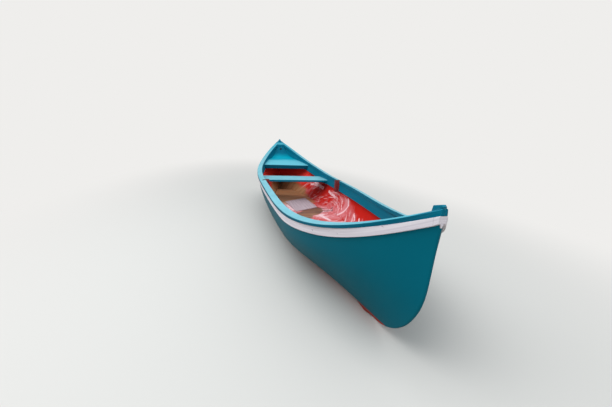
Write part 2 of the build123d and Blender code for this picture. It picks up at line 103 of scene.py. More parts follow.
def straightened(tree, along, across, upward):
    # coordinates that follow the sheer, so that marks run along rails and planks; sizes in mm
    where = addNode(tree, "SeparateXYZ", {0: addNode(tree, "TexCoord").outputs["Object"]})
    square = addNode(tree, "Math", {0: where.outputs["X"], 1: where.outputs["X"]}, operation="MULTIPLY")

    def curve(low, high):
        slope = addNode(tree, "Math", {0: square, 1: high, 2: low}, operation="MULTIPLY_ADD")
        return addNode(tree, "Math", {0: square, 1: slope}, operation="MULTIPLY")

    side = addNode(tree, "Math", {0: where.outputs["Y"]}, operation="ABSOLUTE")
    side = addNode(tree, "Math", {0: side, 1: curve(*lines["drop"])}, operation="ADD")
    height = addNode(tree, "Math", {0: where.outputs["Z"], 1: curve(*lines["rise"])},
                     operation="SUBTRACT")
    joined = addNode(tree, "CombineXYZ", {"X": where.outputs["X"], "Y": side, "Z": height})
    scale = (1000 / along, 1000 / across, 1000 / upward)
    return addNode(tree, "Mapping", {"Vector": joined, "Scale": scale})


def unrolled(tree, centre):
    # the well laid flat round a centre: X, and how far up it is from the middle of the sole; then Y
    where = addNode(tree, "SeparateXYZ", {0: addNode(tree, "TexCoord").outputs["Object"]})
    along = addNode(tree, "Math", {0: where.outputs["X"], 1: centre[0]}, operation="SUBTRACT")
    girth = addNode(tree, "Math", {0: where.outputs["Y"]}, operation="ABSOLUTE")
    girth = addNode(tree, "Math", {0: girth, 1: where.outputs["Z"]}, operation="ADD")
    girth = addNode(tree, "Math", {0: girth, 1: lines["soleTop"] + centre[1]}, operation="SUBTRACT")
    return addNode(tree, "CombineXYZ", {"X": along, "Y": girth}), where.outputs["Y"]


def sweeps(tree, centre, width, length, radius):
    # rubbed arcs round a centre in the well, partly painted sky reflection, their sizes in mm;
    # radius is where length is true
    flat, side = unrolled(tree, centre)
    reach = addNode(tree, "VectorMath", {0: flat}, operation="LENGTH").outputs["Value"]
    reach = addNode(tree, "Math", {0: reach, 1: 1000 / width}, operation="MULTIPLY")
    parts = addNode(tree, "SeparateXYZ", {0: flat})
    turn = addNode(tree, "Math", {0: parts.outputs["Y"], 1: parts.outputs["X"]}, operation="ARCTAN2")
    turn = addNode(tree, "Math", {0: turn, 1: radius / length}, operation="MULTIPLY")
    unlike = 3.0      # marks per metre across the boat, so that its two sides differ
    side = addNode(tree, "Math", {0: side, 1: unlike}, operation="MULTIPLY")
    joined = addNode(tree, "CombineXYZ", {"X": reach, "Y": turn, "Z": side})
    return addNode(tree, "TexNoise", {"Vector": joined, "Scale": 1.0, "Detail": 4.0, "Roughness": 0.6,
                                      "Distortion": 0.5})


def near(tree, centre, none, full):
    # 1 within full of a centre in the well, 0 beyond none
    flat = unrolled(tree, centre)[0]
    reach = addNode(tree, "VectorMath", {0: flat}, operation="LENGTH").outputs["Value"]
    return zone(tree, reach, none, full)


def shaken(tree, size, reach):
    # coordinates moved about for hand-made edges, by waves of a size in mm and a reach in metres
    where = addNode(tree, "TexCoord").outputs["Object"]
    noise = addNode(tree, "TexNoise", {"Vector": where, "Scale": 1000 / size, "Detail": 4.0})
    middle = (0.5, 0.5, 0.5)      # of the noise, so that the waves go both ways
    moved = addNode(tree, "VectorMath", {0: noise.outputs["Color"], 1: middle}, operation="SUBTRACT")
    moved = addNode(tree, "VectorMath", {0: moved, "Scale": reach}, operation="SCALE")
    return addNode(tree, "VectorMath", {0: where, 1: moved}, operation="ADD")


def strokes(tree, where, table):
    # strokes of a brush or boot: columns are start, end and width, in metres
    core, rim = 0.3, 0.6      # shares of the width, between which the edge fades
    total = None
    for start, end, width in table:
        axis = Vector(end) - Vector(start)
        away = addNode(tree, "VectorMath", {0: where, 1: start}, operation="SUBTRACT")
        share = addNode(tree, "VectorMath", {0: away, 1: axis / axis.length_squared},
                        operation="DOT_PRODUCT").outputs["Value"]
        share = addNode(tree, "Math", {0: share, 1: 0.0}, operation="ADD", use_clamp=True)
        foot = addNode(tree, "VectorMath", {0: axis, "Scale": share}, operation="SCALE")
        gap = addNode(tree, "VectorMath", {0: away, 1: foot}, operation="SUBTRACT")
        gap = addNode(tree, "VectorMath", {0: gap}, operation="LENGTH").outputs["Value"]
        one = zone(tree, gap, width * rim, width * core)
        total = one if total is None else addNode(tree, "Math", {0: total, 1: one}, operation="MAXIMUM")
    return total


# Bare places of the worn red paint, blunt ovals seen from above; metres, and waves in mm
bareBlots = {
    "waveSize": 285.7, "waveReach": 0.22, "rim": (1.5, 0.5), "share": 0.92,
    "ovals": (
        # middle, half sizes and turn, and both shades of the plywood's grain
        # the first oval's grain is paler than the second's: painted light, lifting the shade beneath the
        # thwart and bow deck
        ((1.58, -0.01), (0.84, 0.29), 0.0, ("#8E6A48", "#AE825A")),
        ((0.31, -0.085), (0.33, 0.115), -33.0, ("#50382A", "#84603E")),
    ),
}


def blot(tree, middle, halves, turn):
    # 1 inside such an oval, with a soft and ragged edge
    where = shaken(tree, bareBlots["waveSize"], bareBlots["waveReach"])
    moved = addNode(tree, "VectorMath", {0: where, 1: (*middle, 0.0)}, operation="SUBTRACT")
    turned = addNode(tree, "VectorRotate", {"Vector": moved, "Angle": radians(-turn)},
                     rotation_type="Z_AXIS")
    parts = addNode(tree, "SeparateXYZ", {0: turned})
    fourths = []
    for key, half in zip("XY", halves):
        share = addNode(tree, "Math", {0: parts.outputs[key], 1: 1 / half}, operation="MULTIPLY")
        square = addNode(tree, "Math", {0: share, 1: share}, operation="MULTIPLY")
        fourths.append(addNode(tree, "Math", {0: square, 1: square}, operation="MULTIPLY"))
    total = addNode(tree, "Math", {0: fourths[0], 1: fourths[1]}, operation="ADD")
    return zone(tree, total, *bareBlots["rim"])


# Red paint worn by feet, sand and scrubbing, on the sole and on the inside of the hull; its pale
# marks are worn paint and painted sky reflection together, and the ripples across the sole painted
# shade and highlight. Each pair of a zone is where it starts and where it is full; sizes of marks
# are in mm, places in metres.
wornRed = {
    "red": "#C0221A", "redDark": "#8C1618", "rubbedAndSkySheen": "#D68A90", "paleWearAndSheen": "#F0D2D8", "greyWearAndShade": "#5E464C",
    "patchSize": 454.5, "patches": (0.28, 0.5),
    "wornTo": (0.29, 0.41), "wornStep": (-0.25, 0.05), "edgeSize": 166.7, "edgeWaves": 0.14,
    "wornEdge": (0.10, 0.03),
    "palestPlace": (0.12, 0.42), "palestReach": (0.85, 0.1),
    "washSize": 200, "washMore": 0.16, "wash": (0.46, 0.74), "washShare": 0.72,
    # rubbed arcs, partly painted sky reflection: centre, then width, length and radius
    "arcs": ((0.5, 0.1), 45, 320, 600), "arcsMore": 0.06, "arcZone": (0.56, 0.72), "arcShare": 0.75,
    "dullArcs": ((0.45, 0.0), 30, 200, 500), "dullZone": (0.62, 0.74), "dullShare": 0.4,
    "brokenSize": 26.32, "broken": (0.28, 0.5), "handWaves": (111.1, 0.035),
    "smearShare": 0.55, "brightShare": 0.85, "darkShare": 0.8,
    "grainSize": (62.5, 500, 1000), "grain": (0.3, 0.7),
    "bareTo": (0.31, 0.22), "bowFrom": (1.6, 2.1), "bowRise": 0.12,
}
# pale strokes and smears: worn paint and painted sky reflection together
palestStrokes = (
    ((1.363, -0.430, 0.381), (1.063, -0.471, 0.346), 0.055),
    ((1.470, -0.380, 0.330), (1.250, -0.440, 0.350), 0.035),
    ((0.819, -0.489, 0.346), (0.542, -0.491, 0.321), 0.040),
    ((0.107, -0.520, 0.400), (0.029, -0.502, 0.332), 0.034),
    ((0.029, -0.502, 0.332), (0.070, -0.464, 0.245), 0.032),
    ((0.070, -0.464, 0.245), (0.167, -0.413, 0.175), 0.036),
    ((0.269, -0.499, 0.328), (0.174, -0.466, 0.251), 0.022),
    ((0.137, -0.190, 0.175), (-0.060, -0.235, 0.175), 0.060),
    # these two are painted highlights between the ripples' painted shade
    ((0.450, -0.270, 0.175), (0.405, -0.400, 0.180), 0.032),
    ((0.350, -0.255, 0.175), (0.345, -0.370, 0.175), 0.034),
    ((-0.210, -0.485, 0.290), (-0.300, -0.460, 0.240), 0.030),
    ((-0.390, -0.478, 0.280), (-0.450, -0.450, 0.235), 0.028),
    ((0.860, 0.155, 0.175), (0.440, 0.125, 0.175), 0.075),
)
paleSmears = (
    ((0.130, -0.505, 0.365), (0.100, -0.490, 0.290), 0.100),
    ((0.100, -0.490, 0.290), (0.160, -0.430, 0.205), 0.100),
)
# painted shade: the dark sides of ripples across the sole
rippleShadeStrokes = (
    ((0.500, -0.270, 0.175), (0.430, -0.420, 0.195), 0.045),
    ((0.400, -0.260, 0.175), (0.375, -0.400, 0.178), 0.050),
    ((0.310, -0.250, 0.175), (0.330, -0.330, 0.175), 0.040),
)


def makeWornRed(tree):
    # colour of that paint: clean and smooth up on the sides, rubbed pale lower down, bare in places;
    # the pale is partly painted sky reflection
    where = addNode(tree, "SeparateXYZ", {0: addNode(tree, "TexCoord").outputs["Object"]}).outputs
    patches = addNode(tree, "TexNoise", {"Vector": place(tree, wornRed["patchSize"]), "Scale": 1.0,
                                         "Detail": 5.0})
    colour = layer(tree, wornRed["redDark"], wornRed["red"], zone(tree, patches, *wornRed["patches"]))

    # the worn part reaches higher forward of the step
    (stepFrom, stepTo), (lowTo, highTo) = wornRed["wornStep"], wornRed["wornTo"]
    limit = addNode(tree, "MapRange", {"Value": where["X"], "From Min": stepFrom, "From Max": stepTo,
                                       "To Min": lowTo, "To Max": highTo})
    ragged = addNode(tree, "TexNoise", {"Vector": place(tree, wornRed["edgeSize"]), "Scale": 1.0,
                                        "Detail": 4.0})
    level = addNode(tree, "Math", {0: ragged, 1: wornRed["edgeWaves"], 2: where["Z"]},
                    operation="MULTIPLY_ADD")
    over = addNode(tree, "Math", {0: level, 1: limit}, operation="SUBTRACT")
    worn = zone(tree, over, *wornRed["wornEdge"])
    palest = near(tree, wornRed["palestPlace"], *wornRed["palestReach"])

    # a cloudy pale wash, then rubbed arcs, pale and dull; the pale is partly painted sky reflection
    cloudy = addNode(tree, "TexNoise", {"Vector": place(tree, wornRed["washSize"]), "Scale": 1.0,
                                        "Detail": 7.0, "Roughness": 0.65, "Distortion": 0.8})
    cloudy = addNode(tree, "Math", {0: palest, 1: wornRed["washMore"], 2: cloudy},
                     operation="MULTIPLY_ADD")
    wash = zone(tree, cloudy, *wornRed["wash"], worn)
    colour = layer(tree, colour, wornRed["rubbedAndSkySheen"], wash, wornRed["washShare"])
    arcs = addNode(tree, "Math", {0: palest, 1: wornRed["arcsMore"], 2: sweeps(tree, *wornRed["arcs"])},
                   operation="MULTIPLY_ADD")
    arcs = zone(tree, arcs, *wornRed["arcZone"], worn)
    colour = layer(tree, colour, wornRed["paleWearAndSheen"], arcs, wornRed["arcShare"])
    dull = zone(tree, sweeps(tree, *wornRed["dullArcs"]), *wornRed["dullZone"], worn)
    colour = layer(tree, colour, wornRed["greyWearAndShade"], dull, wornRed["dullShare"])

    # strokes by hand, the narrow ones broken up by the surface; the dark ones are painted shade of
    # ripples on the sole, and two pale ones between them painted highlights
    uneven = addNode(tree, "TexNoise", {"Vector": place(tree, wornRed["brokenSize"]), "Scale": 1.0,
                                        "Detail": 3.0})
    broken = zone(tree, uneven, *wornRed["broken"])
    byHand = shaken(tree, *wornRed["handWaves"])
    smears = strokes(tree, byHand, paleSmears)
    colour = layer(tree, colour, wornRed["rubbedAndSkySheen"], smears, wornRed["smearShare"])
    paleWearAndSheen = addNode(tree, "Math", {0: strokes(tree, byHand, palestStrokes), 1: broken},
                     operation="MULTIPLY")
    colour = layer(tree, colour, wornRed["paleWearAndSheen"], paleWearAndSheen, wornRed["brightShare"])
    rippleShade = addNode(tree, "Math", {0: strokes(tree, byHand, rippleShadeStrokes), 1: broken},
                   operation="MULTIPLY")
    colour = layer(tree, colour, wornRed["greyWearAndShade"], rippleShade, wornRed["darkShare"])

    # the plywood's grain runs across the boat; drawn coarser than the real 2 mm so that it shows
    grain = addNode(tree, "TexNoise", {"Vector": place(tree, *wornRed["grainSize"]), "Scale": 1.0,
                                       "Detail": 4.0, "Distortion": 0.5})
    grain = zone(tree, grain, *wornRed["grain"])
    # towards the bow the bottom rises, and so does the bare part
    toBow = zone(tree, where["X"], *wornRed["bowFrom"])
    level = addNode(tree, "Math", {0: toBow, 1: -wornRed["bowRise"], 2: where["Z"]},
                    operation="MULTIPLY_ADD")
    low = zone(tree, level, *wornRed["bareTo"])
    for middle, halves, turn, shades in bareBlots["ovals"]:
        bare = layer(tree, *shades, grain)
        inside = addNode(tree, "Math", {0: blot(tree, middle, halves, turn), 1: low},
                         operation="MULTIPLY")
        colour = layer(tree, colour, bare, inside, bareBlots["share"])
    return colour


# Camera, where the photo's stood; degrees, metres, and the lens and its sensor in mm
view = {"eye": (-3.8609, 1.0363, 1.3370), "yaw": -14.231, "pitch": -13.645, "roll": -3.167, "lens": 20.0,
        "sensor": 36.0, "farthest": 500.0}


def makeCamera():
    yaw, pitch, roll = (radians(view[key]) for key in ("yaw", "pitch", "roll"))
    forward = Vector((cos(yaw) * cos(pitch), sin(yaw) * cos(pitch), sin(pitch)))
    level = forward.cross(Vector((0, 0, 1))).normalized()
    upright = level.cross(forward)
    right = level * cos(roll) - upright * sin(roll)
    up = upright * cos(roll) + level * sin(roll)
    data = bpy.data.cameras.new("camera")
    data.lens = view["lens"]
    data.sensor_width = view["sensor"]
    data.clip_end = view["farthest"]
    camera = bpy.data.objects.new("camera", data)
    turned = Matrix((right, up, -forward)).transposed().to_4x4()
    camera.matrix_world = Matrix.Translation(view["eye"]) @ turned
    bpy.context.scene.collection.objects.link(camera)
    bpy.context.scene.camera = camera


makeCamera()

# Floor, sky and one soft lamp. The camera sees the floor's own colour, and light bounces off a
# warmer one. Beyond fadeFrom the floor turns into the backdrop, later along the boat than across.
studio = {"floor": "#C4C4C1", "bounce": "#A0968B", "floorHalf": 250.0, "fadeFrom": 1.3, "fadeTo": 3.8,
          "fadeShape": (0.45, 1.0, 1.0), "backdrop": "#EFEEEC",
          "sky": "#F4F7FA", "zenith": 1.12, "horizon": 0.85,
          "lampPower": 260.0, "lampSize": 6.0, "lampPlace": (-1.5, 2.5, 5.5), "lampAim": (0.0, 0.0, 0.5)}


def makeFloor():
    mesh = bpy.data.meshes.new("floor")
    half = studio["floorHalf"]
    mesh.from_pydata([(-half, -half, 0), (half, -half, 0), (half, half, 0), (-half, half, 0)],
                     [], [(0, 1, 2, 3)])
    floor = bpy.data.objects.new("floor", mesh)
    bpy.context.scene.collection.objects.link(floor)
    material, tree = newMaterial("matt studio floor")
    seen = addNode(tree, "LightPath").outputs["Is Camera Ray"]
    colour = layer(tree, studio["bounce"], studio["floor"], seen)
    matt = addNode(tree, "BsdfDiffuse", {"Color": colour})
    position = addNode(tree, "NewGeometry").outputs["Position"]
    oval = addNode(tree, "VectorMath", {0: position, 1: studio["fadeShape"]}, operation="MULTIPLY")
    reach = addNode(tree, "VectorMath", {0: oval}, operation="LENGTH").outputs["Value"]
    far = zone(tree, reach, studio["fadeFrom"], studio["fadeTo"], seen)
    plain = addNode(tree, "Emission", {"Color": studio["backdrop"], "Strength": 1.0})
    surface = addNode(tree, "MixShader", {0: far, 1: matt, 2: plain})
    addNode(tree, "OutputMaterial", {"Surface": surface})
    mesh.materials.append(material)


def makeSky():
    world = bpy.data.worlds.new("soft sky")
    bpy.context.scene.world = world
    world.use_nodes = True
    tree = world.node_tree
    tree.nodes.clear()
    direction = addNode(tree, "TexCoord").outputs["Generated"]
    height = addNode(tree, "SeparateXYZ", {0: direction}).outputs["Z"]
    strength = addNode(tree, "MapRange", {"Value": height, "To Min": studio["horizon"],
                                          "To Max": studio["zenith"]})
    sky = addNode(tree, "Background", {"Color": studio["sky"], "Strength": strength})
    backdrop = addNode(tree, "Background", {"Color": studio["backdrop"], "Strength": 1.0})
    seen = addNode(tree, "LightPath").outputs["Is Camera Ray"]
    surface = addNode(tree, "MixShader", {0: seen, 1: sky, 2: backdrop})
    addNode(tree, "OutputWorld", {"Surface": surface})


def makeLamp():
    data = bpy.data.lights.new("soft box", "AREA")
    data.energy = studio["lampPower"]
    data.size = studio["lampSize"]
    lamp = bpy.data.objects.new("soft box", data)
    lamp.location = studio["lampPlace"]
    aim = Vector(studio["lampAim"]) - lamp.location
    lamp.rotation_euler = aim.to_track_quat("-Z", "Y").to_euler()
    bpy.context.scene.collection.objects.link(lamp)


makeFloor()
makeSky()
makeLamp()
bpy.context.scene.view_settings.view_transform = "Standard"
print("camera, floor and light made")

# Plates between the gunwales' ends, and caps round the stems, trimmed finer than their solids;
# metres, and sharpAngle in degrees
endForms = {"headWidth": 0.024, "trimAbove": 0.012, "strakeEnd": 2.465, "strakeFoot": 0.871,
            "footSlope": 0.6, "tongueTop": 0.016, "tongueFoot": 0.004, "tongueDrop": 0.030,
            "capWidth": 0.12, "capRise": 0.1, "capLap": 0.01, "capFront": 2.488, "capTop": 0.927,
            "frontSlope": 0.09, "weld": 1e-6, "sharpAngle": 30.0}
hookStations = (
    # from the middle of the boat, half width, top and foot; the gunwales cut the sides
    (2.340, 0.075, 0.8936, 0.8525),
    (2.372, 0.060, 0.9104, 0.8684),
    (2.400, 0.045, 0.9253, 0.8825),
    (2.420, 0.035, 0.9362, 0.8927),
    (2.440, 0.028, 0.9473, 0.9031),
    (2.460, 0.020, 0.9586, 0.9138),
    (2.475, 0.015, 0.9672, 0.9220),
    (2.486, 0.011, 0.9730, 0.9270),
)


def newPiece(name, mesh):
    piece = bpy.data.objects.new(name, mesh)
    bpy.context.scene.collection.objects.link(piece)
    return piece


def trimmed(name, start, tools, operation):
    # the start mesh cut by each tool, which are then taken away
    piece = newPiece(name, start)
    for tool in tools:
        cut = piece.modifiers.new("cut", "BOOLEAN")
        cut.operation, cut.solver, cut.object = operation, "EXACT", tool
    ready = piece.evaluated_get(bpy.context.evaluated_depsgraph_get())
    piece.data = bpy.data.meshes.new_from_object(ready)
    piece.modifiers.clear()
    for tool in tools:
        bpy.data.objects.remove(tool)
    piece.data.shade_smooth()
    piece.data.set_sharp_from_angle(angle=radians(endForms["sharpAngle"]))
    return piece


def closedMesh(source, lift=0.0, side=0):
    # a closed copy of a solid's mesh, raised by lift; side keeps only what is beyond the head there
    mesh = bpy.data.meshes.new("closed")
    form = bmesh.new()
    form.from_mesh(source)
    bmesh.ops.remove_doubles(form, verts=form.verts, dist=endForms["weld"])
    bmesh.ops.translate(form, verts=form.verts, vec=(0, 0, lift))
    if side:
        whole = form.verts[:] + form.edges[:] + form.faces[:]
        edge = (0, side * endForms["headWidth"] / 2, 0)
        cut = bmesh.ops.bisect_plane(form, geom=whole, plane_co=edge, plane_no=(0, side, 0),
                                     clear_inner=True)
        rim = [part for part in cut["geom_cut"] if isinstance(part, bmesh.types.BMEdge)]
        bmesh.ops.holes_fill(form, edges=rim)
    bmesh.ops.recalc_face_normals(form, faces=form.faces)
    form.to_mesh(mesh)
    form.free()
    return mesh


def bridged(form, rings):
    # a closed form through rings of corners
    for first, second in zip(rings, rings[1:]):
        for i in range(len(first)):
            j = (i + 1) % len(first)
            form.faces.new((first[i], first[j], second[j], second[i]))
    form.faces.new(rings[0])
    form.faces.new(rings[-1])
    bmesh.ops.recalc_face_normals(form, faces=form.faces)
    mesh = bpy.data.meshes.new("bridged")
    form.to_mesh(mesh)
    form.free()
    return mesh


def makeBreasthook(word, end):
    # the plate fills the corner between the gunwales, flush with them, and seats the head
    form = bmesh.new()
    rings = []
    for x, half, top, foot in hookStations:
        corners = ((half, foot), (half, top), (-half, top), (-half, foot))
        rings.append([form.verts.new((end * x, y, z)) for y, z in corners])
    tools = []
    for side, hand in ((1, "port"), (-1, "starboard")):
        gunwale = nodes["gunwale_" + hand].data
        tools.append(newPiece("tool", closedMesh(gunwale)))
        tools.append(newPiece("tool", closedMesh(gunwale, endForms["trimAbove"], side)))
    return trimmed("flush_breasthook_" + word, bridged(form, rings), tools, "DIFFERENCE")


def makeCap(word, end):
    # in line with the strakes' foot, with a narrow tongue down the stem
    half, rise = endForms["capWidth"] / 2, endForms["capRise"]
    top, foot, drop = endForms["tongueTop"] / 2, endForms["tongueFoot"] / 2, endForms["tongueDrop"]
    outline = ((-half, rise), (half, rise), (half, 0.0), (top, 0.0), (foot, -drop), (-foot, -drop),
               (-top, 0.0), (-half, 0.0))
    form = bmesh.new()
    rings = []
    for back in (True, False):
        ring = []
        for y, above in outline:
            x = endForms["strakeEnd"] - endForms["capLap"] if back else endForms["capFront"]
            z = endForms["strakeFoot"] + (x - endForms["strakeEnd"]) * endForms["footSlope"] + above
            if not back:
                x += (z - endForms["capTop"]) * endForms["frontSlope"]
            ring.append(form.verts.new((end * x, y, z)))
        rings.append(ring)
    start = closedMesh(nodes["strake_cap_" + word].data)
    return trimmed("tongued_cap_" + word, start, [newPiece("tool", bridged(form, rings))], "INTERSECT")


ownPieces = []
for word, end in (("bow", 1), ("stern", -1)):
    for made, node, slot in ((makeBreasthook(word, end), "breasthook_" + word, "trim_paint"),
                             (makeCap(word, end), "strake_cap_" + word, "strake_paint")):
        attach(made, "root")
        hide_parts(node)
        ownPieces.append((made, slot))
        print(made.name, len(made.data.polygons), "faces")

# Moulded glass fibre with brushed-on enamel: even and satin outside, dusty low down, and scuffed
# red inside. Pairs and sizes as in wornRed.
hullFinish = {
    "teal": "#00697E", "tealDeep": "#006074", "bottomRed": "#A8342A", "dust": "#8A8A80",
    # the brighter red under the decks is painted light, lifting their shade
    "innerTeal": "#00667C", "underDeckPaintedLight": "#FF463C",
    "cloudSize": 400, "paintLine": 0.075, "lineSoft": 0.004, "lineWaves": 0.012, "waveSize": 111.1,
    "dustHeight": (0.42, 0.08), "dustAlong": (-1.4, 1.2), "gritSize": 71.43, "grit": (0.42, 0.75),
    "dustShare": 0.75, "shelterFrom": (1.5, 1.75), "shelterHeight": (0.27, 0.33),
    "deckBehind": 1.66, "deckUnder": 0.6, "middleShare": 0.9, "middleHeight": 0.75,
    "roughness": 0.4, "dustRoughness": 0.8, "gloss": 0.06, "ior": 1.45,
    "rippleSize": 33.33, "rippleStrength": 0.08, "rippleDepth": 0.002,
}


def makeHullFinish():
    material, tree = newMaterial("enamelled glass-fibre hull")
    geometry = addNode(tree, "NewGeometry").outputs
    # a face is outside when it looks away from a line along the middle, shorter than the boat
    shorter, raised = (hullFinish["middleShare"], 0.0, 0.0), (0.0, 0.0, hullFinish["middleHeight"])
    middle = addNode(tree, "VectorMath", {0: geometry["Position"], 1: shorter}, operation="MULTIPLY")
    middle = addNode(tree, "VectorMath", {0: middle, 1: raised}, operation="ADD")
    outward = addNode(tree, "VectorMath", {0: geometry["Position"], 1: middle}, operation="SUBTRACT")
    facing = addNode(tree, "VectorMath", {0: outward, 1: geometry["True Normal"]},
                     operation="DOT_PRODUCT").outputs["Value"]
    outside = addNode(tree, "Math", {0: facing, 1: 0.0}, operation="GREATER_THAN")
    where = addNode(tree, "SeparateXYZ", {0: geometry["Position"]}).outputs
    along, height = where["X"], where["Z"]

    # outside: teal with a faint cloudiness, red below the paint line, dust low down
    clouds = addNode(tree, "TexNoise", {"Vector": place(tree, hullFinish["cloudSize"]), "Scale": 1.0,
                                        "Detail": 4.0})
    teal = layer(tree, hullFinish["tealDeep"], hullFinish["teal"], clouds)
    wobble = addNode(tree, "TexNoise", {"Vector": place(tree, hullFinish["waveSize"]), "Scale": 1.0,
                                        "Detail": 3.0})
    edge = addNode(tree, "Math", {0: wobble, 1: hullFinish["lineWaves"], 2: height},
                   operation="MULTIPLY_ADD")
    line = hullFinish["paintLine"]
    above = zone(tree, edge, line, line + hullFinish["lineSoft"])
    teal = layer(tree, hullFinish["bottomRed"], teal, above)
    grit = addNode(tree, "TexNoise", {"Vector": place(tree, hullFinish["gritSize"]), "Scale": 1.0,
                                      "Detail": 8.0, "Roughness": 0.65})
    dusty = zone(tree, grit, *hullFinish["grit"], zone(tree, height, *hullFinish["dustHeight"]))
    dusty = zone(tree, along, *hullFinish["dustAlong"], dusty)
    teal = layer(tree, teal, hullFinish["dust"], dusty, hullFinish["dustShare"])

    # inside: red, made brighter under the decks as painted light against their shade, and teal over them
    red = makeWornRed(tree)
    reach = addNode(tree, "Math", {0: along}, operation="ABSOLUTE")
    # painted light: a brighter red on the walls under the decks, where their shade falls
    underDeckPaintedLight = zone(tree, reach, *hullFinish["shelterFrom"],
                     zone(tree, height, *hullFinish["shelterHeight"]))
    red = layer(tree, red, hullFinish["underDeckPaintedLight"], underDeckPaintedLight)
    behind = addNode(tree, "Math", {0: reach, 1: hullFinish["deckBehind"]}, operation="GREATER_THAN")
    over = addNode(tree, "Math", {0: height, 1: hullFinish["deckUnder"]}, operation="GREATER_THAN")
    over = addNode(tree, "Math", {0: behind, 1: over}, operation="MULTIPLY")
    red = layer(tree, red, hullFinish["innerTeal"], over)

    colour = layer(tree, red, teal, outside)
    roughness = addNode(tree, "MapRange", {"Value": dusty, "To Min": hullFinish["roughness"],
                                           "To Max": hullFinish["dustRoughness"]})
    ripple = addNode(tree, "TexNoise", {"Vector": place(tree, hullFinish["rippleSize"]), "Scale": 1.0,
                                        "Detail": 3.0})
    bump = addNode(tree, "Bump", {"Height": ripple, "Strength": hullFinish["rippleStrength"],
                                  "Distance": hullFinish["rippleDepth"]})
    shader = addNode(tree, "BsdfPrincipled", {"Base Color": colour, "Roughness": roughness,
                                              "IOR": hullFinish["ior"], "Normal": bump,
                                              "Specular IOR Level": hullFinish["gloss"]})
    addNode(tree, "OutputMaterial", {"Surface": shader})
    return material


# Teal enamel brushed over timber: satin with long brush marks, bleached where it faces the sky and
# paler there still as painted sky reflection.
# Real brush marks are 1 to 3 mm apart: drawn at 8 mm so that they show.
trimFinish = {
    # the deeper teal of the outer faces is painted shade
    "teal": "#006C86", "outside": "#005870", "bleachedAndSkySheen": "#74B2BF", "fresh": "#2C9CB2",
    "wornEdge": "#86BCC8",
    "brush": (350, 8, 8), "cloudSize": 166.7, "clouds": (0.3, 0.7), "cloudShare": (0.78, 1.0),
    "flatTop": (0.35, 0.85), "inboard": (2.43, 2.36), "tipShare": 0.15,
    "lookAway": (0.0, 0.1), "toEnd": (1.75, 2.35), "endShare": 0.75,
    "streak": (0.45, 0.75), "streakShare": 0.05,
    "edge": 0.003, "onEdge": (0.985, 0.8), "chipSize": 22.22, "chips": (0.45, 0.6), "chipShare": 0.7,
    "roughness": (0.42, 0.62), "gloss": 0.06, "ior": 1.45, "brushStrength": 0.25, "brushDepth": 0.001,
}


def makeTrimFinish():
    material, tree = newMaterial("teal enamel on timber")
    geometry = addNode(tree, "NewGeometry").outputs
    where = addNode(tree, "SeparateXYZ", {0: geometry["Position"]}).outputs
    facing = addNode(tree, "SeparateXYZ", {0: geometry["True Normal"]}).outputs
    reach = addNode(tree, "Math", {0: where["X"]}, operation="ABSOLUTE")
    brush = straightened(tree, *trimFinish["brush"])
    marks = addNode(tree, "TexNoise", {"Vector": brush, "Scale": 1.0, "Detail": 3.0})
    clouds = addNode(tree, "TexNoise", {"Vector": place(tree, trimFinish["cloudSize"]), "Scale": 1.0,
                                        "Detail": 5.0})

    # the heads and the gunwales' tips get little of the pale top colour: painted shade, for the heads
    # stand in shade
    inboard = zone(tree, reach, *trimFinish["inboard"])
    paleTopShare = addNode(tree, "MapRange", {"Value": inboard, "To Min": trimFinish["tipShare"]})
    top = zone(tree, facing["Z"], *trimFinish["flatTop"], paleTopShare)
    (cloudFrom, cloudTo), (leastShare, fullShare) = trimFinish["clouds"], trimFinish["cloudShare"]
    fade = addNode(tree, "MapRange", {"Value": clouds, "From Min": cloudFrom, "From Max": cloudTo,
                                      "To Min": leastShare, "To Max": fullShare})
    bleachedAndSkySheen = addNode(tree, "Math", {0: top, 1: fade}, operation="MULTIPLY")

    # the faces that look away from the boat are deeper in colour than those inside the well, as
    # painted shade on the outer sides
    away = addNode(tree, "Math", {0: where["Y"], 1: facing["Y"]}, operation="MULTIPLY")
    away = zone(tree, away, *trimFinish["lookAway"])
    teal = layer(tree, trimFinish["teal"], trimFinish["outside"], away)
    # towards the ends the tops are less trodden on and keep more of their colour
    toEnd = zone(tree, reach, *trimFinish["toEnd"])
    pale = layer(tree, trimFinish["bleachedAndSkySheen"], trimFinish["fresh"], toEnd, trimFinish["endShare"])
    # the pale tops are sun bleaching and painted sky reflection together
    colour = layer(tree, teal, pale, bleachedAndSkySheen)
    streak = zone(tree, marks, *trimFinish["streak"])
    colour = layer(tree, colour, trimFinish["wornEdge"], streak, trimFinish["streakShare"])

    # paint chipped off along the edges
    rounded = addNode(tree, "Bevel", {"Radius": trimFinish["edge"]}, samples=6)
    turn = addNode(tree, "VectorMath", {0: rounded, 1: geometry["True Normal"]},
                   operation="DOT_PRODUCT").outputs["Value"]
    chips = addNode(tree, "TexNoise", {"Vector": place(tree, trimFinish["chipSize"]), "Scale": 1.0,
                                       "Detail": 6.0})
    worn = zone(tree, chips, *trimFinish["chips"], zone(tree, turn, *trimFinish["onEdge"]))
    colour = layer(tree, colour, trimFinish["wornEdge"], worn, trimFinish["chipShare"])

    smoothest, roughest = trimFinish["roughness"]
    roughness = addNode(tree, "MapRange", {"Value": marks, "To Min": smoothest, "To Max": roughest})
    bump = addNode(tree, "Bump", {"Height": marks, "Strength": trimFinish["brushStrength"],
                                  "Distance": trimFinish["brushDepth"], "Normal": rounded})
    shader = addNode(tree, "BsdfPrincipled", {"Base Color": colour, "Roughness": roughness,
                                              "IOR": trimFinish["ior"], "Normal": bump,
                                              "Specular IOR Level": trimFinish["gloss"]})
    addNode(tree, "OutputMaterial", {"Surface": shader})
    return material


